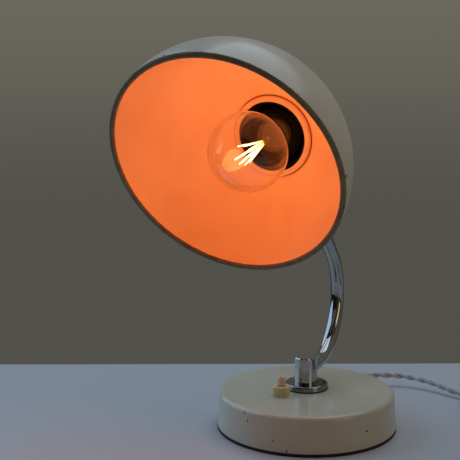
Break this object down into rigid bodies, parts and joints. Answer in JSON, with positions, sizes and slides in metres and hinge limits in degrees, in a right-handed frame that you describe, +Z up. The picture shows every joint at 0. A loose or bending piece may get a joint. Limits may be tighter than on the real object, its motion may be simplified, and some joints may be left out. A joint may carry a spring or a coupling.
{
  "type": "bedside lamp",
  "caption": "Bedside lamp with a hemispherical enamel shade that tilts on a bent chrome arm, a round weighted base with a push switch, and a twisted fabric cord with its plug.",
  "frame": {"origin": "centre of the base's underside, where it rests on the table", "axes": "+Z up, the lamp faces -Y, the arm bends towards +Y in the YZ plane, +X to the right seen from the front"},
  "size_m": [0.306, 0.3393, 0.3153],
  "materials": {
    "enamel": "gloss cream enamel, chipped at the edges",
    "shade_enamel": "gloss cream enamel, lit orange inside by the bulb",
    "chrome": "polished chrome plate",
    "steel": "plain steel",
    "cast_iron": "rough casting",
    "brass": "dull brass",
    "black_rubber": "matt",
    "lead_rubber": "matt",
    "felt": "pressed felt",
    "fibre": "matt fibre",
    "brown_bakelite": "moulded",
    "ivory_bakelite": "moulded, yellowed",
    "button_bakelite": "moulded, rubbed smooth",
    "black_bakelite": "glossy moulding",
    "porcelain": "glazed",
    "cord_fabric": "braided rayon over rubber",
    "bulb_glass": "clear",
    "black_glass": "glazed",
    "filament": "glowing"
  },
  "bodies": {
    "base": {"base_shell": "enamel", "base_edge_ring": "black_rubber", "base_plate": "steel", "base_weight": "cast_iron", "felt_pad": "felt", "base_posts": "steel", "plate_screws": "steel", "flange_gasket": "fibre", "pivot_washer": "steel", "switch_body": "brown_bakelite", "switch_collar": "ivory_bakelite", "switch_spring": "steel", "switch_terminals": "brass", "switch_leads": "lead_rubber", "terminal_block": "porcelain", "terminal_screws": "brass", "cord_clamp": "steel", "clamp_screws": "steel", "cord_bush": "black_bakelite", "cord_inner": "cord_fabric", "cord": "cord_fabric", "cord_coil": "cord_fabric", "cord_tail": "cord_fabric", "cord_tie": "black_rubber", "plug_body": "black_bakelite", "plug_sleeve": "black_rubber", "plug_pins": "brass"},
    "button": {"switch_button": "button_bakelite"},
    "arm": {"pivot_flange": "chrome", "pivot_stud": "steel", "pivot_spring_washer": "steel", "pivot_nuts": "steel", "knuckle": "chrome", "arm_tube": "chrome", "arm_lead": "lead_rubber", "arm_fork": "chrome", "tilt_washers": "fibre", "tilt_screw": "chrome", "tilt_knob": "chrome", "loop_lead": "cord_fabric"},
    "head": {"tilt_bracket": "chrome", "bracket_rivets": "steel", "holder_cup": "enamel", "shade": "shade_enamel", "shade_ring": "shade_enamel", "holder_skirt": "black_bakelite", "holder_body": "black_bakelite", "thread_shell": "brass", "holder_contacts": "brass", "holder_nipple": "steel", "nipple_nuts": "steel", "bulb_glass": "bulb_glass", "bulb_cap": "brass", "bulb_insulator": "black_glass", "bulb_contact": "steel", "bulb_stem": "bulb_glass", "bulb_supports": "steel", "bulb_filament": "filament"}
  },
  "joints": [
    {"name": "arm_swivel", "type": "hinge", "parent": "base", "child": "arm", "pos_m": [0, 0, 0.03278], "axis": [0, 0, 1], "range_deg": [-120, 120]},
    {"name": "shade_tilt", "type": "hinge", "parent": "arm", "child": "head", "pos_m": [0, -0.0194, 0.21635], "axis": [1, 0, 0], "range_deg": [-30, 45], "deforming": ["loop_lead"]},
    {"name": "switch_press", "type": "slide", "parent": "base", "child": "button", "axis": [0, 0, -1], "range_m": [0, 0.003], "stiffness_N_per_m": 400, "springref_m": -0.002, "deforming": ["switch_spring"]}
  ]
}
